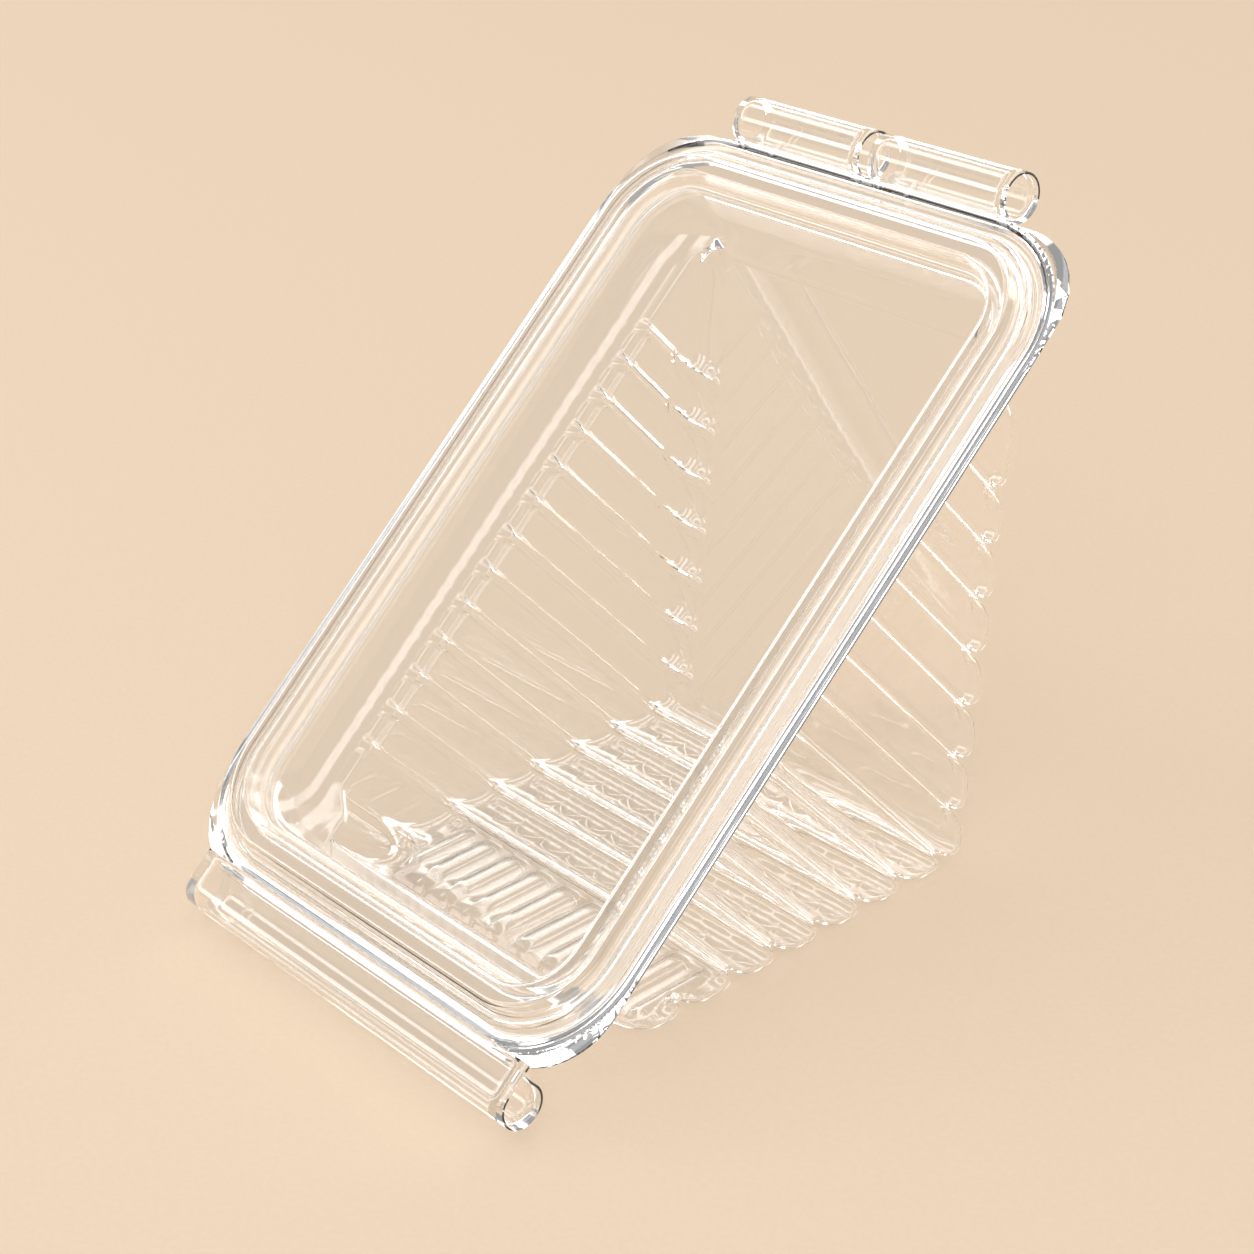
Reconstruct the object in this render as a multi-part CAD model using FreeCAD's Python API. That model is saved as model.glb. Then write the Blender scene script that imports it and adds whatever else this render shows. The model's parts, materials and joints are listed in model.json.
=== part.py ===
import FreeCAD, Part
import math
import os
from FreeCAD import Placement, Rotation, Vector

# A clear film sandwich wedge pack: a triangular tray with a grooved wall and a lobed floor, closed by a lid
# that is hinged at the top of the slanted opening. Millimetres. The pack stands on one leg of its triangle.
# It is drawn with the rim flat: x runs across, y up the slope and z out of the opening. It is then tilted.

# Film and rim
FILM = 0.4
RIM_WIDTH = 105.0
RIM_HEIGHT = 156.0
TRAY_CORNER = 15.0
LID_CORNER = 21.0
LID_CLEARANCE = 0.3

# Section of the rim, measured inwards from the rim's edge
FLANGE_SEAM = 3.2
TRAY_BEAD_START = 4.9
TRAY_BEAD_WIDTH = 4.4
TRAY_BEAD_HEIGHT = 2.0
TRAY_BEAD_SLOPE = 0.8
WALL_INSET = 11.3
WALL_DEPTH = 12.0
WALL_DRAFT = 0.6
LID_FLAT = 3.2
LID_STEP = 1.6
LID_STEP_WIDTH = 1.7
LID_STEP_SLOPE = 0.5
LID_BEAD_RISE = 2.6
LID_CREST_WIDTH = 3.4
LID_RECESS = 3.2
LID_SLOPE = 1.2
BEND_RADIUS = 0.8

# Wedge below the ledge
LEG_ANGLE = 40.0
FLOOR_START = -13.8
LEDGE = 1.6
BACK_WALL = 0.34
WEDGE_CORNER = 5.0
GROOVE_DEPTH = 1.1
GROOVE_WIDTH = 1.0
GROOVE_COUNT = 13
GROOVE_PITCH = 7.54
FIRST_GROOVE = 31.5
LOBE_DEPTH = 2.4
LOBE_ROUND = 2.7
BACK_EDGE_INSET = 6.0
PANEL_ROUND = 1.6
FRONT_LOBES = 2
FRONT_NOTCH = 6.0
POCKET_WIDTH = 1.4
POCKET_DEPTH = 2.6
LUG_WIDTH = 5.0
LUG_LENGTH = 4.5
LUG_SLANT = 5.0
LUG_ROUND = 3.0

# Closing lip along the lid's lower edge, and hinge loops along its upper edge
LIP_RADIUS = 4.0
LIP_LENGTH = 88.0
LIP_TURN = 262.0
LIP_CLEARANCE = 0.3
LOOP_RADIUS = 4.3
LOOP_LENGTH = 31.0
LOOP_GAP = 2.4
LOOP_NECK = 0.6

HALF_WIDTH = RIM_WIDTH / 2
LID_BASE = LID_CLEARANCE
SLOPE = math.tan(math.radians(LEG_ANGLE))


def normal_of(start, end):
    """Unit vector to the left of the run from start to end, in the plane of a section."""
    dx = end[0] - start[0]
    dz = end[1] - start[1]
    length = math.hypot(dx, dz)
    return -dz / length, dx / length


def shifted_points(points, shift):
    """The corners of an open run of straight lines, moved sideways by shift."""
    moved = []
    for i, point in enumerate(points):
        before = normal_of(points[i - 1], point) if i else None
        after = normal_of(point, points[i + 1]) if i < len(points) - 1 else None
        a = before or after
        b = after or before
        scale = shift / (1 + a[0] * b[0] + a[1] * b[1])
        moved.append((point[0] + (a[0] + b[0]) * scale, point[1] + (a[1] + b[1]) * scale))
    return moved


def rounded_edges(points, radii, place):
    """Edges along an open run of lines with its inner corners rounded, each by its own radius."""
    edges = []
    last = points[0]
    for i in range(1, len(points) - 1):
        corner = points[i]
        n0 = normal_of(points[i - 1], corner)
        n1 = normal_of(corner, points[i + 1])
        bend = math.acos(max(-1.0, min(1.0, n0[0] * n1[0] + n0[1] * n1[1])))
        cut = radii[i] * math.tan(bend / 2)
        start = (corner[0] - n0[1] * cut, corner[1] + n0[0] * cut)
        end = (corner[0] + n1[1] * cut, corner[1] - n1[0] * cut)
        bulge = radii[i] * (1 / math.cos(bend / 2) - 1)
        nx = n0[0] + n1[0]
        nz = n0[1] + n1[1]
        size = math.hypot(nx, nz)
        side = 1 if n0[1] * n1[0] - n0[0] * n1[1] < 0 else -1
        middle = (corner[0] + side * nx / size * bulge, corner[1] + side * nz / size * bulge)
        edges.append(Part.makeLine(place(last), place(start)))
        edges.append(Part.Arc(place(start), place(middle), place(end)).toShape())
        last = end
    edges.append(Part.makeLine(place(last), place(points[-1])))
    return edges


def film_section(points, place):
    """Face of a strip of film whose outer side follows the points, with rounded bends."""
    inner = shifted_points(points, -FILM)
    turns = [0.0] * len(points)
    for i in range(1, len(points) - 1):
        n0 = normal_of(points[i - 1], points[i])
        n1 = normal_of(points[i], points[i + 1])
        turns[i] = n0[0] * n1[1] - n0[1] * n1[0]
    outer_radii = [BEND_RADIUS + (FILM if turn < 0 else 0.0) for turn in turns]
    inner_radii = [BEND_RADIUS + (FILM if turn > 0 else 0.0) for turn in turns]
    edges = rounded_edges(points, outer_radii, place)
    edges.append(Part.makeLine(place(points[-1]), place(inner[-1])))
    edges += rounded_edges(inner, inner_radii, place)
    edges.append(Part.makeLine(place(points[0]), place(inner[0])))
    return Part.Face(Part.Wire(Part.__sortEdges__(edges)))


def rim_ring(points):
    """A film section, given as (inset, height) points, carried round the lid's rounded rectangle."""
    straight_x = HALF_WIDTH - LID_CORNER
    straight_y = RIM_HEIGHT - 2 * LID_CORNER
    section = film_section(points, lambda p: Vector(HALF_WIDTH - p[0], LID_CORNER, p[1]))
    side = section.extrude(Vector(0, straight_y, 0))
    bend = section.revolve(Vector(straight_x, LID_CORNER, 0), Vector(0, 0, 1), -90)
    end_section = film_section(points, lambda p: Vector(straight_x, p[0], p[1]))
    end = end_section.extrude(Vector(-2 * straight_x, 0, 0))
    far_bend = bend.mirror(Vector(0, RIM_HEIGHT / 2, 0), Vector(0, 1, 0))
    far_end = end.mirror(Vector(0, RIM_HEIGHT / 2, 0), Vector(0, 1, 0))
    half = [side, bend, far_bend]
    other = [piece.mirror(Vector(0, 0, 0), Vector(1, 0, 0)) for piece in half]
    return half[0].fuse(half[1:] + other + [end, far_end]).removeSplitter()


def upright_plate(half_width, first, last, radius, low, high):
    """A plate between two values of y and two heights, with its four upright edges rounded."""
    plate = Part.makeBox(2 * half_width, last - first, high - low, Vector(-half_width, first, low))
    upright = [edge for edge in plate.Edges if abs(edge.BoundBox.ZLength - (high - low)) < 1e-6]
    return plate.makeFillet(radius, upright)


def rounded_plate(inset, corner, low, high):
    """A plate with the rim's outline moved inwards by inset, from height low to high."""
    return upright_plate(HALF_WIDTH - inset, inset, RIM_HEIGHT - inset, corner - inset, low, high)


def floor_height(y, drop):
    return -(y - FLOOR_START) * SLOPE - drop / math.cos(math.radians(LEG_ANGLE))


def back_height(y, drop):
    return -(RIM_HEIGHT - y) * SLOPE - drop / math.cos(math.radians(LEG_ANGLE))


def apex(floor_drop, back_drop):
    """Where the floor and the back meet, for the given outward moves of each."""
    drop = (floor_drop - back_drop) / math.cos(math.radians(LEG_ANGLE)) / SLOPE
    return (RIM_HEIGHT + FLOOR_START - drop) / 2


def prism(outline, half_width):
    """A solid with the given (y, z) outline, from -half_width to half_width across."""
    corners = [Vector(-half_width, y, z) for y, z in outline]
    face = Part.Face(Part.makePolygon(corners + corners[:1]))
    return face.extrude(Vector(2 * half_width, 0, 0))


def wedge_reach():
    """First and last y of the wedge at the ledge, where the back still reaches a little below the ledge."""
    inset = WALL_INSET + WALL_DRAFT + LEDGE
    back_inset = (WALL_DEPTH + BACK_WALL) / SLOPE
    return inset, RIM_HEIGHT - max(inset, back_inset)


def wedge_outline(first, last, top, floor_drop, back_drop):
    """The wedge's side outline between two values of y, cut by the floor and back lines."""
    tip = apex(floor_drop, back_drop)
    outline = [(first, top)]
    if first < tip:
        outline.append((first, floor_height(first, floor_drop)))
    else:
        outline.append((first, back_height(first, back_drop)))
    if first < tip < last:
        outline.append((tip, floor_height(tip, floor_drop)))
    if last <= tip:
        outline.append((last, floor_height(last, floor_drop)))
    else:
        outline.append((last, back_height(last, back_drop)))
    outline.append((last, top))
    return outline


def rounded(solid, top, radius):
    """The solid with every edge that reaches below its top face rounded."""
    lower = [edge for edge in solid.Edges if edge.BoundBox.ZMin < top - 1e-6]
    return solid.makeFillet(radius, lower)


def lobe(first, last, half_width, drop, top, radius):
    """One bay of the wedge between two grooves, with its lower edges rounded and no sharp apex."""
    outline = [
        (first, top),
        (first, max(floor_height(first, drop), back_height(first, drop))),
        (last, max(floor_height(last, drop), back_height(last, drop))),
        (last, top),
    ]
    return rounded(prism(outline, half_width), top, radius)


def bay_limits():
    """Pairs of y between which the bays lie, from the front of the floor to the top of the back."""
    first, last = wedge_reach()
    grooves = [FIRST_GROOVE + GROOVE_PITCH * i for i in range(GROOVE_COUNT)]
    step = (FIRST_GROOVE - first) / FRONT_LOBES
    stops = [first + step * i for i in range(FRONT_LOBES)] + grooves + [last]
    return list(zip(stops[:-1], stops[1:]))


def corner_lug(half_width, first, grow, bottom, top):
    """The step into a front corner of the wedge that keeps stacked packs apart, grown by grow."""
    slant = LUG_SLANT / LUG_WIDTH
    tip_x = -half_width + LUG_WIDTH + grow
    tip_y = first + LUG_LENGTH + grow * (math.hypot(1, slant) - slant)
    far_x = -half_width - LUG_WIDTH
    far_y = tip_y + (tip_x - far_x) * slant
    near_y = first - LUG_LENGTH
    corners = [
        Vector(far_x, near_y, bottom),
        Vector(tip_x, near_y, bottom),
        Vector(tip_x, tip_y, bottom),
        Vector(far_x, far_y, bottom),
    ]
    post = Part.Face(Part.makePolygon(corners + corners[:1])).extrude(Vector(0, 0, top - bottom))
    upright = [edge for edge in post.Edges if edge.BoundBox.ZLength > 0.5 * (top - bottom)]
    tip = [edge for edge in upright if math.hypot(edge.BoundBox.XMin - tip_x, edge.BoundBox.YMin - tip_y) < FILM]
    return post.makeFillet(LUG_ROUND + grow, tip)


def ledge_pocket(start, end, half_width, shrink, top):
    """The wider top of one bay, which makes a shallow pocket in the ledge on each side."""
    gap = GROOVE_WIDTH / 2 + shrink
    half = half_width + POCKET_WIDTH - shrink
    bottom = -WALL_DEPTH - POCKET_DEPTH + shrink
    corner = Vector(-half, start + gap, bottom)
    return Part.makeBox(2 * half, end - start - 2 * gap, top - bottom, corner)


def wedge_body(shrink, top):
    """The wedge as a full solid, made smaller all round by shrink."""
    first, last = wedge_reach()
    half_width = HALF_WIDTH - first
    core_half = half_width - GROOVE_DEPTH - shrink
    core = prism(wedge_outline(first + shrink, last - shrink, top, -shrink, LOBE_DEPTH / 2 - shrink), core_half)
    radius = LOBE_ROUND + FILM - shrink
    body = rounded(core, top, radius)
    panel_half = half_width - BACK_EDGE_INSET - shrink
    tip = apex(0, LOBE_DEPTH)
    panel_outline = wedge_outline(tip, last - shrink, top, 0, LOBE_DEPTH - shrink)
    bays = []
    for start, end in bay_limits():
        gap = GROOVE_WIDTH / 2 + shrink
        bay = lobe(
            start + (gap if start > first else shrink),
            end - (gap if end < last else shrink),
            half_width - shrink,
            LOBE_DEPTH - shrink,
            top,
            radius,
        )
        bays.append(bay)
    panel = rounded(prism(panel_outline, panel_half), top, PANEL_ROUND - shrink)
    cheek_outline = [
        (first + shrink, top),
        (first + shrink, floor_height(first, -FRONT_NOTCH)),
        (FIRST_GROOVE - GROOVE_WIDTH, floor_height(FIRST_GROOVE, -FRONT_NOTCH)),
        (FIRST_GROOVE - GROOVE_WIDTH, top),
    ]
    cheek = rounded(prism(cheek_outline, half_width - shrink), top, radius)
    whole = body.fuse(bays + [panel, cheek])
    bottom = whole.BoundBox.ZMin
    plan = upright_plate(
        half_width - shrink, first + shrink, last - shrink, WEDGE_CORNER + FILM - shrink, bottom, top
    )
    lug = corner_lug(half_width, first, shrink, bottom, top)
    far_lug = lug.copy()
    far_lug.rotate(Vector(0, (first + last) / 2, 0), Vector(0, 0, 1), 180)
    pockets = [ledge_pocket(start, end, half_width, shrink, top) for start, end in bay_limits()[FRONT_LOBES:-1]]
    return whole.common(plan).cut([lug, far_lug]).fuse(pockets).removeSplitter()


def make_tray():
    wall_foot = WALL_INSET + WALL_DRAFT
    bead_end = TRAY_BEAD_START + TRAY_BEAD_WIDTH
    bead = rim_ring(
        [
            (FLANGE_SEAM, 0.0),
            (TRAY_BEAD_START, 0.0),
            (TRAY_BEAD_START + TRAY_BEAD_SLOPE, TRAY_BEAD_HEIGHT),
            (bead_end - TRAY_BEAD_SLOPE, TRAY_BEAD_HEIGHT),
            (bead_end, 0.0),
            (WALL_INSET, 0.0),
            (wall_foot, -WALL_DEPTH),
        ]
    )
    flange = rounded_plate(0, TRAY_CORNER, -FILM, 0)
    flange = flange.cut(rounded_plate(FLANGE_SEAM, LID_CORNER, -FILM, 0))
    outer = wedge_body(0.0, -WALL_DEPTH)
    inner = wedge_body(FILM, -WALL_DEPTH + FILM)
    ledge = rounded_plate(wall_foot - FILM, LID_CORNER, -WALL_DEPTH - FILM, -WALL_DEPTH)
    return bead.fuse([flange, ledge, outer]).cut(inner).removeSplitter()


def make_lid():
    crest_start = LID_FLAT + LID_STEP_WIDTH + LID_SLOPE
    crest_end = crest_start + LID_CREST_WIDTH
    base = LID_BASE + FILM
    crest = base + LID_STEP + LID_BEAD_RISE
    panel_edge = crest_end + LID_SLOPE
    rim = rim_ring(
        [
            (0.0, base),
            (LID_FLAT, base),
            (LID_FLAT + LID_STEP_SLOPE, base + LID_STEP),
            (LID_FLAT + LID_STEP_WIDTH, base + LID_STEP),
            (crest_start, crest),
            (crest_end, crest),
            (panel_edge, crest - LID_RECESS),
            (panel_edge + 2 * BEND_RADIUS, crest - LID_RECESS),
        ]
    )
    window = rounded_plate(panel_edge + BEND_RADIUS, LID_CORNER, crest - LID_RECESS - FILM, crest - LID_RECESS)
    return rim.fuse([window, closing_lip()]).removeSplitter()


def arc_strip(centre, radius, start, turn, length, first_x):
    """A strip of film bent round an axis along x, with its outer side at radius."""
    def at(r, angle):
        a = math.radians(angle)
        return Vector(first_x, centre[0] + r * math.cos(a), centre[1] + r * math.sin(a))

    inner = radius - FILM
    middle = start + turn / 2
    end = start + turn
    edges = [
        Part.Arc(at(radius, start), at(radius, middle), at(radius, end)).toShape(),
        Part.makeLine(at(radius, end), at(inner, end)),
        Part.Arc(at(inner, end), at(inner, middle), at(inner, start)).toShape(),
        Part.makeLine(at(inner, start), at(radius, start)),
    ]
    return Part.Face(Part.Wire(edges)).extrude(Vector(length, 0, 0))


def closing_lip():
    """The lip that rolls down from the lid's lower edge, just outside the edge of the tray's rim."""
    first_x = -LIP_LENGTH / 2
    centre = (-LIP_CLEARANCE - LIP_RADIUS, LID_BASE + FILM - LIP_RADIUS)
    curl = arc_strip(centre, LIP_RADIUS, 90.0, LIP_TURN, LIP_LENGTH, first_x)
    bridge = Part.makeBox(LIP_LENGTH, LID_FLAT / 2 - centre[0], FILM, Vector(first_x, centre[0], LID_BASE))
    return curl.fuse(bridge)


def hinge_loop(first_x):
    """A loop of film from the tray's rim, round the outside and back to the lid's rim."""
    low = -FILM / 2
    high = LID_BASE + FILM / 2
    middle = (low + high) / 2
    half_neck = (high - low) / 2
    reach = math.sqrt(LOOP_RADIUS ** 2 - half_neck ** 2)
    centre = (RIM_HEIGHT + LOOP_NECK + reach, middle)
    opening = math.degrees(math.asin(half_neck / LOOP_RADIUS))
    loop = arc_strip(centre, LOOP_RADIUS, -180 + opening, 360 - 2 * opening, LOOP_LENGTH, first_x)
    neck = centre[0] - reach + FILM - RIM_HEIGHT
    feet = [
        Part.makeBox(LOOP_LENGTH, neck, FILM, Vector(first_x, RIM_HEIGHT, height))
        for height in (-FILM, LID_BASE)
    ]
    return loop.fuse(feet).removeSplitter()


def stand_up(shapes):
    """Tilts the pack so that the floor's lobes lie flat, and centres it over the origin."""
    tilt = Rotation(Vector(1, 0, 0), LEG_ANGLE)
    tilted = {}
    for name, shape in shapes.items():
        copy = shape.copy()
        copy.Placement = Placement(Vector(0, 0, 0), tilt)
        tilted[name] = copy
    whole = FreeCAD.BoundBox()
    for shape in tilted.values():
        whole.add(shape.optimalBoundingBox(False))
    shift = Vector(0, -(whole.YMin + whole.YMax) / 2, -whole.ZMin)
    print("moved up and back by", round(shift.z, 3), round(shift.y, 3))
    return {name: shape.translated(shift) for name, shape in tilted.items()}


def main():
    shapes = {
        "tray": make_tray(),
        "lid": make_lid(),
        "hinge_loop_left": hinge_loop(-LOOP_GAP / 2 - LOOP_LENGTH),
        "hinge_loop_right": hinge_loop(LOOP_GAP / 2),
    }
    os.makedirs("parts", exist_ok=True)
    for name, shape in stand_up(shapes).items():
        print(name, shape.isValid(), len(shape.Solids), round(shape.Volume, 1), shape.BoundBox)
        shape.exportStep("parts/" + name + ".step")


main()
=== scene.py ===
import json
import math

import bmesh
import bpy
from mathutils import Matrix, Vector

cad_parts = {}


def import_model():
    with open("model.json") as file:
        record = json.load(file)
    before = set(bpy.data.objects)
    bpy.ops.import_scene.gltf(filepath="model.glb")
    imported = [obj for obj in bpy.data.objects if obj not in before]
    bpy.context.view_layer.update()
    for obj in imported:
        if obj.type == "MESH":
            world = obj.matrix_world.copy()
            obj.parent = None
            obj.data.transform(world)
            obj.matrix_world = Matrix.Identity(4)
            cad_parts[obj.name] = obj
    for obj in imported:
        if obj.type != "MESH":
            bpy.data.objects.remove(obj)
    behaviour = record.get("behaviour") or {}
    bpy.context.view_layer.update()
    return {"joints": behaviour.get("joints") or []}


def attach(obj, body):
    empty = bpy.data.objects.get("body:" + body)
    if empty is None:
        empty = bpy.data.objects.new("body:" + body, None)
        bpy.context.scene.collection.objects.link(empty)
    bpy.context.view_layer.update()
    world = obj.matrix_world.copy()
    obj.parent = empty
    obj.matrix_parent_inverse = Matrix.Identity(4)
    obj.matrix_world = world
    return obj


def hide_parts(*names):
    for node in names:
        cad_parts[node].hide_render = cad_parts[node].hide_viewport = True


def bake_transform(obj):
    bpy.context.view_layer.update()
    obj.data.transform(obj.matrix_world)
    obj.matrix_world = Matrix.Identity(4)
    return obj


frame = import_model()

MM = 0.001
WELD = 0.004

# The pack's own frame: x across, y up the slope of the rim, z out of the opening, tilted by LEG_ANGLE
LEG_ANGLE = math.radians(40.0)
FILM = 0.4
RIM_WIDTH = 105.0
RIM_HEIGHT = 156.0
HALF_WIDTH = RIM_WIDTH / 2
TRAY_CORNER = 15.0
LID_CORNER = 21.0
LID_CLEARANCE = 0.3
TRAY_BEAD_START = 4.9
TRAY_BEAD_WIDTH = 4.4
TRAY_BEAD_HEIGHT = 2.0
TRAY_BEAD_SLOPE = 0.8
WALL_INSET = 11.3
WALL_DEPTH = 12.0
WALL_DRAFT = 0.6
LID_FLAT = 3.2
LID_STEP = 1.6
LID_STEP_WIDTH = 1.7
LID_STEP_SLOPE = 0.5
LID_BEAD_RISE = 2.6
LID_CREST_WIDTH = 3.4
LID_RECESS = 3.2
LID_SLOPE = 1.2
BEND_RADIUS = 0.8
FLOOR_START = -13.8
LEDGE = 1.6
BACK_WALL = 0.34
WEDGE_CORNER = 5.0
GROOVE_DEPTH = 1.1
GROOVE_HALF = 0.9
GROOVE_SOFTNESS = 0.7
GROOVE_COUNT = 13
GROOVE_PITCH = 7.54
FIRST_GROOVE = 31.5
LOBE_DEPTH = 2.4
LOBE_ROUND = 3.1
BACK_EDGE_INSET = 6.0
FRONT_LOBES = 2
FRONT_NOTCH = 6.0
RIDGE_HALF = 0.6
TIP_RISE = 5.5
TIP_LENGTH = 1.2
POCKET_WIDTH = 1.4
POCKET_DEPTH = 2.6
LUG_WIDTH = 5.0
LUG_LENGTH = 4.5
LUG_SLANT = 5.0
FLUTE_PITCH = 7.2
FLUTE_HEIGHT = 0.6
LIP_RADIUS = 4.0
LIP_LENGTH = 88.0
LIP_TURN = 262.0
LIP_CLEARANCE = 0.3
LOOP_RADIUS = 4.3
LOOP_LENGTH = 31.0
LOOP_GAP = 2.4
LOOP_NECK = 0.6
SLOPE = math.tan(LEG_ANGLE)
COSINE = math.cos(LEG_ANGLE)

# White panels of the studio: rings round the way in which the window mirrors, so that it stays clear itself
PANEL_MIDDLE = (-0.694, -0.343, 0.632)
PANEL_RINGS = ((20, 33), (46, 53), (70, 84), (98, 110))
PANEL_STRENGTH = 3.6

# What the film mirrors between the panels
PANEL_GAP_STRENGTH = 0.35
PANEL_SOFTNESS = 2

# Light that is caught inside the film after so many bounces goes straight on
TRAPPED_DEPTH = 4.5

FILM_IOR = 1.57
SURROUND_COLOUR = (0.93, 0.89, 0.84, 1.0)
SURROUND_STRENGTH = 0.78

# Lamps: place in metres, width and height in metres, watts
KEY = ((-1.5, -1.2, 2.3), 1.4, 1.4, 25.0)
FILL = ((1.5, -1.5, 1.8), 1.8, 1.8, 16.0)
BACK_CARD = ((0.15, 0.62, 0.11), 1.0, 0.2, 4.0)
PACK_MIDDLE = (0.0, 0.0, 0.06)
BACK_CARD_TARGET = (0.15, 0.0, 0.11)

CAMERA_PLACE = (0.3237, -0.26257, 0.26865)
CAMERA_TURN = (62.116, 3.337, 49.184)
CAMERA_LENS = 80.3

# Half the floor sheet's width, in metres
FLOOR_HALF = 6.0

# Where the tilted frame's origin lies, from the joint that both models share
HINGE = Vector(frame["joints"][0]["pos_m"]) / MM
HINGE_Y = RIM_HEIGHT + LOOP_NECK + 2 * LOOP_RADIUS - 0.014
HINGE_Z = LID_CLEARANCE / 2
TILT = Matrix.Rotation(LEG_ANGLE, 3, "X")
SHIFT = HINGE - TILT @ Vector((0.0, HINGE_Y, HINGE_Z))


def world(x, y, z):
    """A point of the pack's own frame, in metres of the shared frame."""
    return (TILT @ Vector((x, y, z)) + SHIFT) * MM


def direction(x, y, z):
    """A direction of the pack's own frame, turned into the shared frame."""
    return TILT @ Vector((x, y, z))


# Materials

def link(tree, source, target):
    tree.links.new(source, target)


def film_material():
    """Clear polyester film: smooth glass with a faint ripple, that lets the lamps' light through."""
    material = bpy.data.materials.new("clear_film")
    material.use_nodes = True
    tree = material.node_tree
    tree.nodes.clear()
    output = tree.nodes.new("ShaderNodeOutputMaterial")
    glass = tree.nodes.new("ShaderNodeBsdfPrincipled")
    glass.inputs["Base Color"].default_value = (1.0, 1.0, 1.0, 1.0)
    glass.inputs["Transmission Weight"].default_value = 1.0
    glass.inputs["IOR"].default_value = FILM_IOR
    glass.inputs["Roughness"].default_value = 0.0
    coordinates = tree.nodes.new("ShaderNodeTexCoord")
    ripple = tree.nodes.new("ShaderNodeTexNoise")
    ripple.inputs["Scale"].default_value = 70.0
    ripple.inputs["Detail"].default_value = 1.5
    bump = tree.nodes.new("ShaderNodeBump")
    bump.inputs["Strength"].default_value = 0.05
    bump.inputs["Distance"].default_value = 0.0006
    link(tree, coordinates.outputs["Object"], ripple.inputs["Vector"])
    link(tree, ripple.outputs["Fac"], bump.inputs["Height"])
    link(tree, bump.outputs["Normal"], glass.inputs["Normal"])
    clear = tree.nodes.new("ShaderNodeBsdfTransparent")
    clear.inputs["Color"].default_value = (0.985, 0.985, 0.985, 1.0)
    path = tree.nodes.new("ShaderNodeLightPath")
    mix = tree.nodes.new("ShaderNodeMixShader")
    trapped = tree.nodes.new("ShaderNodeMath")
    trapped.operation = "GREATER_THAN"
    trapped.inputs[1].default_value = TRAPPED_DEPTH
    link(tree, path.outputs["Ray Depth"], trapped.inputs[0])
    passed = tree.nodes.new("ShaderNodeMath")
    passed.operation = "MAXIMUM"
    link(tree, path.outputs["Is Shadow Ray"], passed.inputs[0])
    link(tree, trapped.outputs["Value"], passed.inputs[1])
    link(tree, passed.outputs["Value"], mix.inputs["Fac"])
    link(tree, glass.outputs["BSDF"], mix.inputs[1])
    link(tree, clear.outputs["BSDF"], mix.inputs[2])
    link(tree, mix.outputs["Shader"], output.inputs["Surface"])
    return material


def edge_material():
    """The film's cut edge, a little hazy and grey."""
    material = bpy.data.materials.new("cut_edge")
    material.use_nodes = True
    tree = material.node_tree
    output = tree.nodes["Material Output"]
    edge = tree.nodes["Principled BSDF"]
    edge.inputs["Roughness"].default_value = 0.3
    coordinates = tree.nodes.new("ShaderNodeTexCoord")
    grain = tree.nodes.new("ShaderNodeTexNoise")
    grain.inputs["Scale"].default_value = 400.0
    tone = tree.nodes.new("ShaderNodeValToRGB")
    tone.color_ramp.elements[0].color = (0.50, 0.50, 0.52, 1.0)
    tone.color_ramp.elements[1].color = (0.75, 0.75, 0.77, 1.0)
    link(tree, coordinates.outputs["Object"], grain.inputs["Vector"])
    link(tree, grain.outputs["Fac"], tone.inputs["Fac"])
    link(tree, tone.outputs["Color"], edge.inputs["Base Color"])
    clear = tree.nodes.new("ShaderNodeBsdfTransparent")
    mix = tree.nodes.new("ShaderNodeMixShader")
    mix.inputs["Fac"].default_value = 0.85
    link(tree, edge.outputs["BSDF"], mix.inputs[1])
    link(tree, clear.outputs["BSDF"], mix.inputs[2])
    link(tree, mix.outputs["Shader"], output.inputs["Surface"])


def floor_material():
    """Matt beige paper with a very fine tooth."""
    material = bpy.data.materials.new("beige_paper")
    material.use_nodes = True
    tree = material.node_tree
    paper = tree.nodes["Principled BSDF"]
    paper.inputs["Roughness"].default_value = 0.9
    paper.inputs["Specular IOR Level"].default_value = 0.0
    coordinates = tree.nodes.new("ShaderNodeTexCoord")
    grain = tree.nodes.new("ShaderNodeTexNoise")
    grain.inputs["Scale"].default_value = 900.0
    grain.inputs["Detail"].default_value = 4.0
    tone = tree.nodes.new("ShaderNodeValToRGB")
    tone.color_ramp.elements[0].color = (0.79, 0.642, 0.492, 1.0)
    tone.color_ramp.elements[1].color = (0.84, 0.692, 0.537, 1.0)
    bump = tree.nodes.new("ShaderNodeBump")
    bump.inputs["Strength"].default_value = 0.1
    bump.inputs["Distance"].default_value = 0.0002
    link(tree, coordinates.outputs["Object"], grain.inputs["Vector"])
    link(tree, grain.outputs["Fac"], tone.inputs["Fac"])
    link(tree, tone.outputs["Color"], paper.inputs["Base Color"])
    link(tree, grain.outputs["Fac"], bump.inputs["Height"])
    link(tree, bump.outputs["Normal"], paper.inputs["Normal"])
    return material


# Mesh helpers

def rounded_run(points, radius, steps=5):
    """An open run of straight lines with every corner turned into an arc, as a list of points."""
    run = [points[0]]
    for before, corner, after in zip(points[:-2], points[1:-1], points[2:]):
        a = Vector(before) - Vector(corner)
        b = Vector(after) - Vector(corner)
        room = min(a.length, b.length) * 0.49
        a.normalize()
        b.normalize()
        half = a.angle(b) / 2
        cut = min(radius / math.tan(half), room)
        size = cut * math.tan(half)
        centre = Vector(corner) + (a + b).normalized() * (size / math.sin(half))
        start = Vector(corner) + a * cut - centre
        end = Vector(corner) + b * cut - centre
        for i in range(steps + 1):
            blended = start.slerp(end, i / steps) if start.angle(end) > 1e-4 else start
            run.append(tuple(centre + blended))
    run.append(points[-1])
    return run


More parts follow.
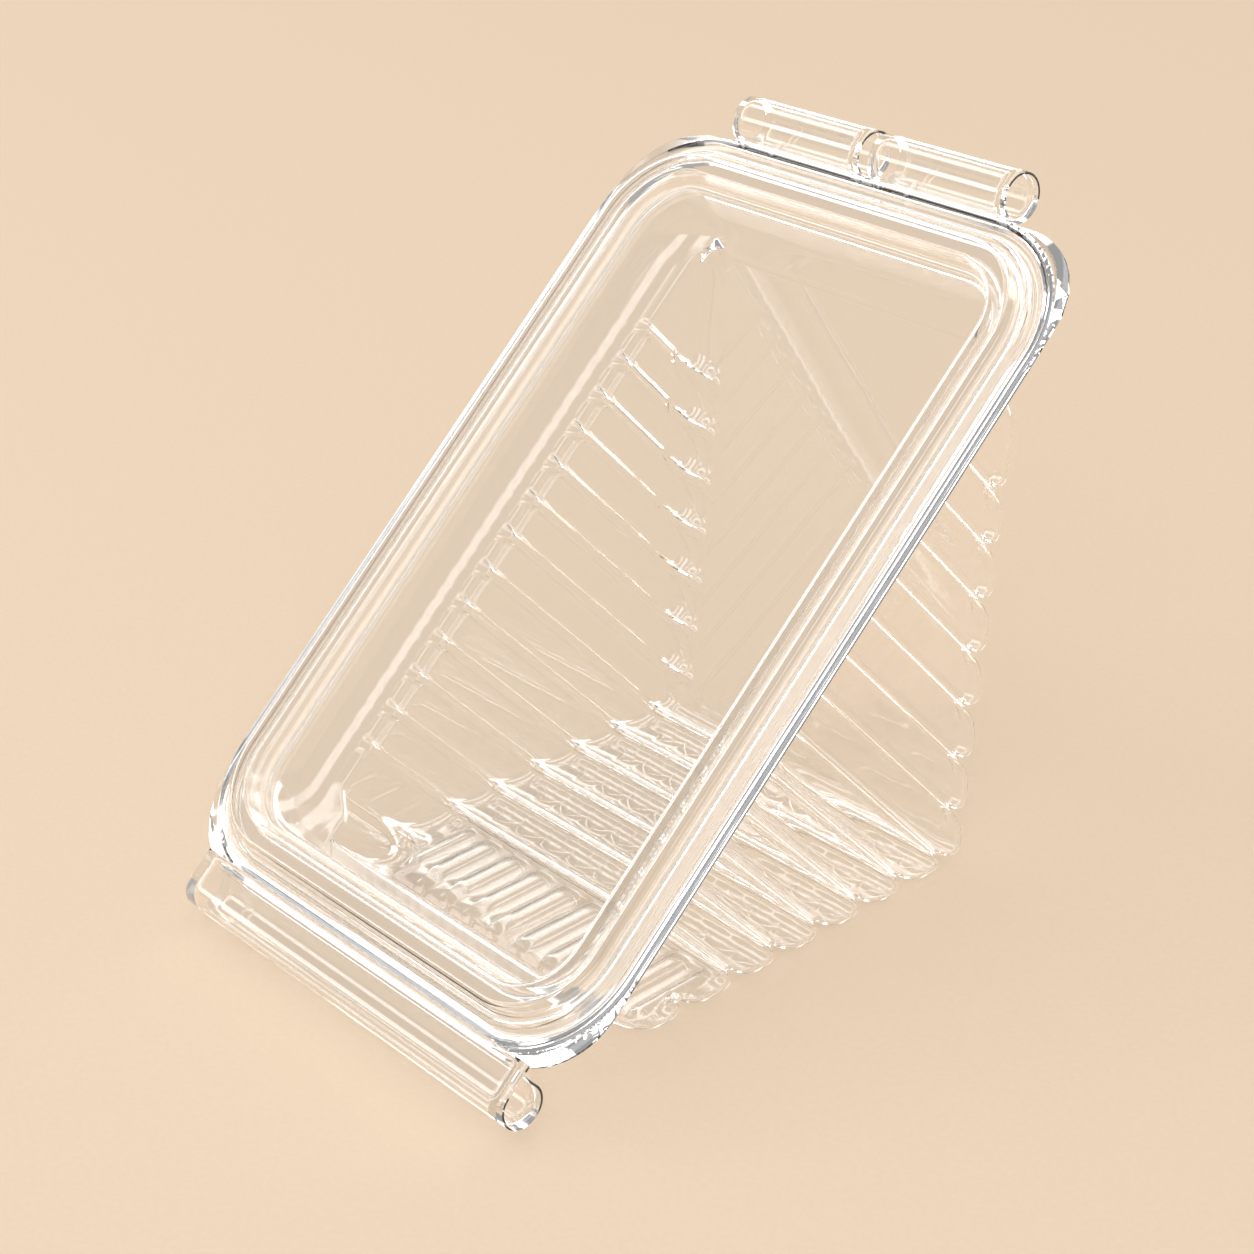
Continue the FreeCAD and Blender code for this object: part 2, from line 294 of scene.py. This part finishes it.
def new_piece(name, vertices, faces, material, faces_out):
    """A sheet from points of the pack's own frame, whose normals agree with faces_out(point)."""
    mesh = bpy.data.meshes.new(name)
    mesh.from_pydata([world(*v) for v in vertices], [], faces)
    sheet = bmesh.new()
    sheet.from_mesh(mesh)
    bmesh.ops.remove_doubles(sheet, verts=sheet.verts, dist=WELD * MM)
    bmesh.ops.dissolve_degenerate(sheet, edges=sheet.edges, dist=WELD * MM)
    bmesh.ops.recalc_face_normals(sheet, faces=sheet.faces)
    agree = sum(f.normal.dot(faces_out(f.calc_center_median())) * f.calc_area() for f in sheet.faces)
    if agree < 0:
        bmesh.ops.reverse_faces(sheet, faces=sheet.faces)
    sheet.to_mesh(mesh)
    sheet.free()
    mesh.materials.append(material)
    mesh.polygons.foreach_set("use_smooth", [True] * len(mesh.polygons))
    piece = bpy.data.objects.new(name, mesh)
    bpy.context.scene.collection.objects.link(piece)
    return piece


def out_of_opening(_):
    return direction(0.0, 0.0, 1.0)


def thicken(piece, offset=-1.0):
    """Gives the sheet its film thickness behind its face, and makes it a plain mesh."""
    piece.data.materials.append(bpy.data.materials["cut_edge"])
    solid = piece.modifiers.new("film", "SOLIDIFY")
    solid.material_offset_rim = 1
    solid.thickness = FILM * MM
    solid.offset = offset
    solid.use_even_offset = False
    bpy.context.view_layer.objects.active = piece
    piece.select_set(True)
    bpy.ops.object.modifier_apply(modifier="film")
    piece.select_set(False)


def grid_faces(rows, columns, first=0, closed=False):
    """Quads of a grid whose rows follow each other in the vertex list."""
    faces = []
    for i in range(rows - 1):
        for j in range(columns if closed else columns - 1):
            k = (j + 1) % columns
            a = first + i * columns
            b = a + columns
            faces.append((a + j, a + k, b + k, b + j))
    return faces


def on_rounded_rectangle(x, y, inset, radius):
    """The point out from (x, y) on the rim's outline moved inwards by inset, in a corner by its angle."""
    half_x = HALF_WIDTH - inset
    half_y = RIM_HEIGHT / 2 - inset
    py = y - RIM_HEIGHT / 2
    dx = abs(x) - (HALF_WIDTH - LID_CORNER)
    dy = abs(py) - (RIM_HEIGHT / 2 - LID_CORNER)
    if dx > 0 and dy > 0:
        size = math.hypot(dx, dy)
        far_x = half_x - radius + dx / size * radius
        far_y = half_y - radius + dy / size * radius
        return math.copysign(far_x, x), math.copysign(far_y, py) + RIM_HEIGHT / 2
    if dx > 0:
        return math.copysign(half_x, x), y
    if dy > 0:
        return x, math.copysign(half_y, py) + RIM_HEIGHT / 2
    gap_x = half_x - abs(x)
    gap_y = half_y - abs(py)
    if gap_x < gap_y:
        return math.copysign(half_x, x), y
    return x, math.copysign(half_y, py) + RIM_HEIGHT / 2


# The tray's wedge

# The side of the film that faces the inside, so each measure is one film's thickness less than the outside's
WALL_FOOT = WALL_INSET + WALL_DRAFT
WEDGE_START = WALL_FOOT + LEDGE + FILM
WEDGE_END = RIM_HEIGHT - max(WEDGE_START - FILM, (WALL_DEPTH + BACK_WALL) / SLOPE) - FILM
WEDGE_HALF = HALF_WIDTH - WEDGE_START
APEX = (RIM_HEIGHT + FLOOR_START) / 2
GROOVES = [FIRST_GROOVE + GROOVE_PITCH * i for i in range(GROOVE_COUNT)]
FRONT_STEP = (FIRST_GROOVE - WEDGE_START) / FRONT_LOBES
STOPS = [WEDGE_START + FRONT_STEP * i for i in range(FRONT_LOBES)] + GROOVES + [WEDGE_END]


def smooth(t):
    t = max(0.0, min(1.0, t))
    return t * t * (3 - 2 * t)


def bay_share(y):
    """How far y is through its bay, from -1 at one groove to 1 at the next, and half the bay's length."""
    for start, end in zip(STOPS[:-1], STOPS[1:]):
        if y <= end:
            return (y - (start + end) / 2) / ((end - start) / 2), (end - start) / 2
    return 1.0, 1.0


def lobe_drop(y):
    """How far the lobes hang below the flat ridges between them."""
    share, half = bay_share(y)
    reach = min(half, GROOVE_PITCH / 2) - RIDGE_HALF
    distance = max(0.0, (1 - abs(share)) * half - RIDGE_HALF)
    inner = max(0.0, 1 - distance / reach)
    return LOBE_DEPTH * math.sqrt(max(0.0, 1 - inner * inner))


def bottom_height(x, y):
    """Height of the floor or of the back over (x, y), with lobes and the smooth back panel."""
    drop = lobe_drop(y)
    edge = smooth((abs(x) - (WEDGE_HALF - BACK_EDGE_INSET)) / 2.0)
    back_drop = LOBE_DEPTH + (drop - LOBE_DEPTH) * edge
    floor_drop = back_drop if y < FIRST_GROOVE - RIDGE_HALF else drop
    floor = -(y - FLOOR_START) * SLOPE - (floor_drop - FILM) / COSINE
    back = -(RIM_HEIGHT - y) * SLOPE - (back_drop - FILM) / COSINE
    gap = floor - back
    softness = 1.2
    if abs(gap) > 4 * softness:
        return max(floor, back)
    return max(floor, back) + softness * math.log1p(math.exp(-abs(gap) / softness))


def flute_height(x, y):
    """Raised flutes that run from front to back on the floor, strong in its first bay and faint behind it."""
    if y > APEX:
        return 0.0
    strength = 1.0 if y < FIRST_GROOVE else 0.2
    sides = smooth((WEDGE_HALF - 5.0 - abs(x)) / 2.0)
    ends = smooth((y - WEDGE_START - 2.0) / 2.0) * smooth(abs(y - FIRST_GROOVE) / 2.0 - 0.4)
    across = abs((x / FLUTE_PITCH) % 1.0 - 0.5)
    return FLUTE_HEIGHT * strength * sides * ends * smooth((0.3 - across) / 0.1)


def groove_share(y):
    """How deep the side walls' grooves are at y, from 0 to 1."""
    distance = min(abs(y - g) for g in GROOVES)
    return smooth((GROOVE_HALF + GROOVE_SOFTNESS / 2 - distance) / GROOVE_SOFTNESS)


def plan_reach(y, side):
    """Half the wedge's width over y on one side, less at its rounded corners and at the two lugs."""
    reach = WEDGE_HALF
    for end, way in ((WEDGE_START, 1), (WEDGE_END, -1)):
        run = max(0.0, (y - end) * way)
        if side * way < 0:
            reach -= LUG_WIDTH * (1 - smooth((run + FILM - LUG_LENGTH + 0.5) / (LUG_SLANT + 1.0)))
        elif run < WEDGE_CORNER:
            reach -= WEDGE_CORNER - math.sqrt(WEDGE_CORNER ** 2 - (WEDGE_CORNER - run) ** 2)
    return reach


def groove_cut(y, rise, side):
    """How far a side wall steps in at y, at a height of rise above the bottom."""
    share, _ = bay_share(y)
    depth = GROOVE_DEPTH * groove_share(y)
    if y > APEX and side < 0:
        depth *= max(smooth((rise - TIP_RISE) / TIP_LENGTH), smooth((TIP_RISE - 1.0 - rise) / TIP_LENGTH))
    scallop = GROOVE_DEPTH * (1 - smooth(rise / FRONT_NOTCH)) * abs(share) ** 4
    return max(depth, scallop)


def pocket_width(y):
    """How far the ledge's pockets reach out over y."""
    if y < GROOVES[0] or y > GROOVES[-1]:
        return 0.0
    distance = min(abs(y - g) for g in GROOVES)
    return POCKET_WIDTH * smooth((distance - GROOVE_HALF) / 0.5)


def slice_places():
    """Values of y for the slices, closer together at the grooves and at both ends."""
    front = 0.6
    places = [WEDGE_START + front * i / 5 for i in range(5)]
    begin = WEDGE_START + front
    for start, end in zip(STOPS[:-1], STOPS[1:]):
        start = max(start, begin)
        end = min(end, WEDGE_END - front / 2)
        steps = max(14, int((end - start) / 0.52))
        for i in range(steps):
            t = i / steps
            eased = t - math.sin(2 * math.pi * t) / (2 * math.pi) * 0.55
            places.append(start + (end - start) * eased)
    places.append(WEDGE_END - front / 2)
    places.append(WEDGE_END)
    return places


# How finely the sheets are divided
COLUMN_STEP = 2.5
WALL_STEPS = 12
CORNER_STEPS = 7
FLUTE_LINES = (0.2, 0.25, 0.3, 0.7, 0.75, 0.8)
FLUTE_REACH = 31.5
SIDE_STEPS = 7


def floor_places(corner_x):
    """Distances from the middle line at which a slice's floor has points, most of them at the flutes' edges."""
    fit = min(1.0, (corner_x - 1.0) / FLUTE_REACH)
    reach = FLUTE_REACH * fit
    places = [corner_x + (reach - corner_x) * i / SIDE_STEPS for i in range(SIDE_STEPS + 1)]
    lines = [(k + share) * FLUTE_PITCH for k in range(5) for share in FLUTE_LINES]
    places += [x * fit for x in sorted(lines, reverse=True) if x < FLUTE_REACH]
    return places + [0.0]


def wedge_slice(y, side):
    """Half a slice through the wedge, from the ledge down the wall, round the corner and to the middle."""
    top = -WALL_DEPTH
    front = smooth((y - WEDGE_START) / 0.6)
    low = top + (bottom_height(WEDGE_HALF, y) - top) * front
    if y >= WEDGE_END - 1e-6:
        low = top
        front = 0.0
    radius = min(LOBE_ROUND, (top - low) * 0.9)
    plan = plan_reach(y, side)
    pocket = pocket_width(y)
    shelf = top - min(POCKET_DEPTH, (top - low) * 0.45)
    shelf_cut = groove_cut(y, shelf - low, side)
    outer = plan + pocket - shelf_cut
    inner = plan - shelf_cut
    points = [(outer, top), (outer, shelf + (top - shelf) * 0.25)]
    points += [(outer - pocket * 0.08, shelf + (top - shelf) * 0.07), (outer - pocket * 0.25, shelf)]
    points += [(inner + pocket * 0.15, shelf)]
    for i in range(WALL_STEPS):
        z = shelf + (low + radius - shelf) * (i + 0.3) / (WALL_STEPS + 0.3)
        points.append((plan - groove_cut(y, z - low, side), z))
    corner_x = plan - groove_cut(y, radius, side) - radius
    for i in range(CORNER_STEPS):
        angle = math.pi / 2 * i / CORNER_STEPS
        points.append((corner_x + radius * math.cos(angle), low + radius * (1 - math.sin(angle))))
    for x in floor_places(corner_x):
        z = bottom_height(x, y) + flute_height(x * side, y)
        points.append((x, top + (z - top) * front))
    return points


def wedge_grid():
    """Vertices of the wedge, one full slice after the other, and the number in a slice."""
    vertices = []
    count = 0
    for y in slice_places():
        left = wedge_slice(y, -1)
        right = wedge_slice(y, 1)
        row = [(-x, y, z) for x, z in left] + [(x, y, z) for x, z in reversed(right[:-1])]
        vertices += row
        count = len(row)
    return vertices, count


def tray_rim_points():
    bead_end = TRAY_BEAD_START + TRAY_BEAD_WIDTH
    return rounded_run(
        [
            (WALL_FOOT, -WALL_DEPTH),
            (WALL_INSET, 0.0),
            (bead_end, 0.0),
            (bead_end - TRAY_BEAD_SLOPE, TRAY_BEAD_HEIGHT),
            (TRAY_BEAD_START + TRAY_BEAD_SLOPE, TRAY_BEAD_HEIGHT),
            (TRAY_BEAD_START, 0.0),
            (0.0, 0.0),
        ],
        BEND_RADIUS,
        3,
    )


def tray_corner_radius(inset):
    """The flange has tighter corners than the bead and the wall inside it."""
    if inset >= TRAY_BEAD_START:
        return LID_CORNER - inset
    share = inset / TRAY_BEAD_START
    return TRAY_CORNER + (LID_CORNER - TRAY_BEAD_START - TRAY_CORNER) * share


def make_tray(material):
    vertices, count = wedge_grid()
    rows = len(vertices) // count
    faces = grid_faces(rows, count)
    # The opening's outline, once round: the first slice, the right edge, the last slice, the left edge
    ring = list(range(count))
    ring += [i * count + count - 1 for i in range(1, rows)]
    ring += [(rows - 1) * count + j for j in range(count - 2, -1, -1)]
    ring += [i * count for i in range(rows - 2, 0, -1)]
    columns = len(ring)
    first = len(vertices)
    profile = tray_rim_points()
    ends = [vertices[i] for i in ring]
    for inset, height in profile:
        radius = tray_corner_radius(inset)
        for x, y, _ in ends:
            px, py = on_rounded_rectangle(x, y, inset, radius)
            vertices.append((px, py, height))
    for j in range(columns):
        k = (j + 1) % columns
        faces.append((ring[j], ring[k], first + k, first + j))
    faces += grid_faces(len(profile), columns, first, closed=True)
    tray = new_piece("tray_film", vertices, faces, material, out_of_opening)
    thicken(tray)
    return tray


def rim_columns():
    """Points once round a rounded rectangle, close together in its corners."""
    inset = 10.0
    radius = LID_CORNER - inset
    half_x = HALF_WIDTH - inset - radius
    half_y = RIM_HEIGHT / 2 - inset - radius
    points = []
    corners = ((half_x, -half_y, -90), (half_x, half_y, 0), (-half_x, half_y, 90), (-half_x, -half_y, 180))
    for i, (cx, cy, start) in enumerate(corners):
        for a in range(19):
            angle = math.radians(start + 5 * a)
            points.append((cx + radius * math.cos(angle), cy + radius * math.sin(angle)))
        nx, ny, _ = corners[(i + 1) % 4]
        last = points[-1]
        angle = math.radians(start + 90)
        target = (nx + radius * math.cos(angle), ny + radius * math.sin(angle))
        steps = int(math.hypot(target[0] - last[0], target[1] - last[1]) / COLUMN_STEP)
        for s in range(1, steps):
            t = s / steps
            points.append((last[0] + (target[0] - last[0]) * t, last[1] + (target[1] - last[1]) * t))
    return [(x, y + RIM_HEIGHT / 2) for x, y in points]


def lid_rim_points():
    crest_start = LID_FLAT + LID_STEP_WIDTH + LID_SLOPE
    crest_end = crest_start + LID_CREST_WIDTH
    base = LID_CLEARANCE + FILM
    crest = base + LID_STEP + LID_BEAD_RISE
    panel_edge = crest_end + LID_SLOPE
    return rounded_run(
        [
            (0.0, base),
            (LID_FLAT, base),
            (LID_FLAT + LID_STEP_SLOPE, base + LID_STEP),
            (LID_FLAT + LID_STEP_WIDTH, base + LID_STEP),
            (crest_start, crest),
            (crest_end, crest),
            (panel_edge, crest - LID_RECESS),
            (panel_edge + 2 * BEND_RADIUS, crest - LID_RECESS),
        ],
        BEND_RADIUS,
    )


def lip_strip():
    """The lip that rolls down from the lid's lower edge, as rows of points along the pack's width."""
    centre_y = -LIP_CLEARANCE - LIP_RADIUS
    centre_z = LID_CLEARANCE + FILM - LIP_RADIUS
    profile = [(LID_FLAT / 2, LID_CLEARANCE + FILM), (0.0, LID_CLEARANCE + FILM)]
    steps = 40
    for i in range(steps + 1):
        angle = math.radians(90 + LIP_TURN * i / steps)
        profile.append((centre_y + LIP_RADIUS * math.cos(angle), centre_z + LIP_RADIUS * math.sin(angle)))
    return profile


def strip_piece(name, profile, first_x, length, material, columns, axis):
    """A sheet whose section in y and z follows the profile, drawn out along x, with its face away from axis."""
    vertices = []
    for y, z in profile:
        vertices += [(first_x + length * j / columns, y, z) for j in range(columns + 1)]
    faces = grid_faces(len(profile), columns + 1)
    return new_piece(name, vertices, faces, material, lambda point: point - axis)


def make_lid(material):
    profile = lid_rim_points()
    columns = rim_columns()
    vertices = []
    for inset, height in profile:
        radius = LID_CORNER - inset
        for x, y in columns:
            px, py = on_rounded_rectangle(x, y, inset, radius)
            vertices.append((px, py, height))
    faces = grid_faces(len(profile), len(columns), closed=True)
    # The window panel: rings that shrink to the middle line
    height = profile[-1][1]
    rings = 6
    last = (len(profile) - 1) * len(columns)
    middle_y = RIM_HEIGHT / 2
    spine = RIM_HEIGHT / 2 - 42.0
    previous = last
    for r in range(1, rings + 1):
        t = r / rings * 0.96
        start = len(vertices)
        for j in range(len(columns)):
            x, y, _ = vertices[last + j]
            sy = max(middle_y - spine, min(middle_y + spine, y))
            vertices.append((x * (1 - t), y + (sy - y) * t, height))
        for j in range(len(columns)):
            k = (j + 1) % len(columns)
            faces.append((previous + j, previous + k, start + k, start + j))
        previous = start
    faces.append(tuple(previous + j for j in range(len(columns))))
    lid = new_piece("lid_film", vertices, faces, material, out_of_opening)
    thicken(lid)
    axis = world(0.0, -LIP_CLEARANCE - LIP_RADIUS, LID_CLEARANCE + FILM - LIP_RADIUS)
    lip = strip_piece("closing_lip", lip_strip(), -LIP_LENGTH / 2, LIP_LENGTH, material, 24, axis)
    thicken(lip)
    return lid, lip


def loop_profile():
    """The hinge loop's line, from the tray's rim round the outside to the lid's rim."""
    low = -FILM / 2
    high = LID_CLEARANCE + FILM / 2
    middle = (low + high) / 2
    half_neck = (high - low) / 2
    reach = math.sqrt(LOOP_RADIUS ** 2 - half_neck ** 2)
    centre_y = RIM_HEIGHT + LOOP_NECK + reach
    radius = LOOP_RADIUS - FILM / 2
    opening = math.asin(half_neck / LOOP_RADIUS)
    steps = 48
    profile = [(RIM_HEIGHT, low)]
    for i in range(steps + 1):
        angle = -math.pi + opening + (2 * math.pi - 2 * opening) * i / steps
        profile.append((centre_y + radius * math.cos(angle), middle + radius * math.sin(angle)))
    profile.append((RIM_HEIGHT, high))
    return profile


def make_loop(side, material):
    first_x = LOOP_GAP / 2 if side == "right" else -LOOP_GAP / 2 - LOOP_LENGTH
    axis = world(0.0, RIM_HEIGHT + LOOP_NECK + LOOP_RADIUS, LID_CLEARANCE / 2)
    loop = strip_piece("loop_film_" + side, loop_profile(), first_x, LOOP_LENGTH, material, 12, axis)
    thicken(loop, 0.0)
    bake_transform(loop)
    return loop


# Stage, lamps and camera

def make_stage():
    half = FLOOR_HALF
    corners = [(-half, -half, 0), (half, -half, 0), (half, half, 0), (-half, half, 0)]
    mesh = bpy.data.meshes.new("floor")
    mesh.from_pydata(corners, [], [(0, 1, 2, 3)])
    mesh.materials.append(floor_material())
    floor = bpy.data.objects.new("floor", mesh)
    bpy.context.scene.collection.objects.link(floor)


def aim(thing, target):
    way = Vector(target) - thing.location
    thing.rotation_euler = way.to_track_quat("-Z", "Y").to_euler()


def softbox(name, values, target, mirrored):
    """A soft lamp that either lights the scene or is only seen mirrored in the film."""
    place, width, height, watts = values
    lamp = bpy.data.lights.new(name, "AREA")
    lamp.shape = "RECTANGLE"
    lamp.size = width
    lamp.size_y = height
    lamp.energy = watts
    box = bpy.data.objects.new(name, lamp)
    box.location = place
    aim(box, target)
    box.visible_diffuse = not mirrored
    box.visible_glossy = mirrored
    box.visible_transmission = mirrored
    bpy.context.scene.collection.objects.link(box)


def make_lamps():
    softbox("key", KEY, PACK_MIDDLE, False)
    softbox("fill", FILL, PACK_MIDDLE, False)
    softbox("back_card", BACK_CARD, BACK_CARD_TARGET, True)


def panel_glow(tree, direction_socket, aim_at, inner, outer):
    """1 where a direction lies between two angles from aim_at, in degrees, with soft edges."""
    dot = tree.nodes.new("ShaderNodeVectorMath")
    dot.operation = "DOT_PRODUCT"
    dot.inputs[1].default_value = tuple(Vector(aim_at).normalized())
    link(tree, direction_socket, dot.inputs[0])
    far = tree.nodes.new("ShaderNodeMapRange")
    far.interpolation_type = "SMOOTHSTEP"
    far.inputs["From Min"].default_value = math.cos(math.radians(outer + PANEL_SOFTNESS))
    far.inputs["From Max"].default_value = math.cos(math.radians(outer - PANEL_SOFTNESS))
    near = tree.nodes.new("ShaderNodeMapRange")
    near.interpolation_type = "SMOOTHSTEP"
    near.inputs["From Min"].default_value = math.cos(math.radians(inner - PANEL_SOFTNESS))
    near.inputs["From Max"].default_value = math.cos(math.radians(inner + PANEL_SOFTNESS))
    link(tree, dot.outputs["Value"], far.inputs["Value"])
    link(tree, dot.outputs["Value"], near.inputs["Value"])
    both = tree.nodes.new("ShaderNodeMath")
    both.operation = "MULTIPLY"
    link(tree, far.outputs["Result"], both.inputs[0])
    link(tree, near.outputs["Result"], both.inputs[1])
    return both.outputs["Value"]


def add_up(tree, sockets):
    total = sockets[0]
    for socket in sockets[1:]:
        plus = tree.nodes.new("ShaderNodeMath")
        plus.operation = "MAXIMUM"
        link(tree, total, plus.inputs[0])
        link(tree, socket, plus.inputs[1])
        total = plus.outputs["Value"]
    return total


def make_world():
    """A plain warm surround for the light, and white panels that only gloss and clear film show."""
    surroundings = bpy.data.worlds.new("studio")
    surroundings.use_nodes = True
    tree = surroundings.node_tree
    output = tree.nodes["World Output"]
    plain = tree.nodes["Background"]
    plain.inputs["Color"].default_value = SURROUND_COLOUR
    plain.inputs["Strength"].default_value = SURROUND_STRENGTH
    panels = tree.nodes.new("ShaderNodeBackground")
    panels.inputs["Color"].default_value = (1.0, 1.0, 1.0, 1.0)
    coordinates = tree.nodes.new("ShaderNodeTexCoord")
    way = coordinates.outputs["Generated"]
    rings = [panel_glow(tree, way, PANEL_MIDDLE, inner, outer) for inner, outer in PANEL_RINGS]
    glow = add_up(tree, rings)
    strength = tree.nodes.new("ShaderNodeMapRange")
    strength.inputs["To Min"].default_value = PANEL_GAP_STRENGTH
    strength.inputs["To Max"].default_value = PANEL_STRENGTH
    link(tree, glow, strength.inputs["Value"])
    link(tree, strength.outputs["Result"], panels.inputs["Strength"])
    path = tree.nodes.new("ShaderNodeLightPath")
    mirrored = tree.nodes.new("ShaderNodeMath")
    mirrored.operation = "MAXIMUM"
    link(tree, path.outputs["Is Glossy Ray"], mirrored.inputs[0])
    link(tree, path.outputs["Is Transmission Ray"], mirrored.inputs[1])
    direct = tree.nodes.new("ShaderNodeMath")
    direct.operation = "LESS_THAN"
    direct.inputs[1].default_value = 0.5
    link(tree, path.outputs["Diffuse Depth"], direct.inputs[0])
    shown = tree.nodes.new("ShaderNodeMath")
    shown.operation = "MULTIPLY"
    link(tree, mirrored.outputs["Value"], shown.inputs[0])
    link(tree, direct.outputs["Value"], shown.inputs[1])
    mix = tree.nodes.new("ShaderNodeMixShader")
    link(tree, shown.outputs["Value"], mix.inputs["Fac"])
    link(tree, plain.outputs["Background"], mix.inputs[1])
    link(tree, panels.outputs["Background"], mix.inputs[2])
    link(tree, mix.outputs["Shader"], output.inputs["Surface"])
    bpy.context.scene.world = surroundings


def make_camera():
    camera = bpy.data.cameras.new("camera")
    camera.sensor_width = 36.0
    camera.lens = CAMERA_LENS
    camera.clip_start = 0.01
    holder = bpy.data.objects.new("camera", camera)
    holder.location = CAMERA_PLACE
    holder.rotation_euler = tuple(math.radians(a) for a in CAMERA_TURN)
    bpy.context.scene.collection.objects.link(holder)
    bpy.context.scene.camera = holder


def main():
    film = film_material()
    edge_material()
    tray = make_tray(film)
    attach(tray, "tray")
    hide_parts("tray")
    lid, lip = make_lid(film)
    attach(lid, "lid")
    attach(lip, "lid")
    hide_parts("lid")
    loops = {side: make_loop(side, film) for side in ("left", "right")}
    for side, loop in loops.items():
        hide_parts("hinge_loop_" + side)
    make_stage()
    make_lamps()
    make_world()
    make_camera()
    bpy.context.scene.view_settings.view_transform = "Standard"


main()
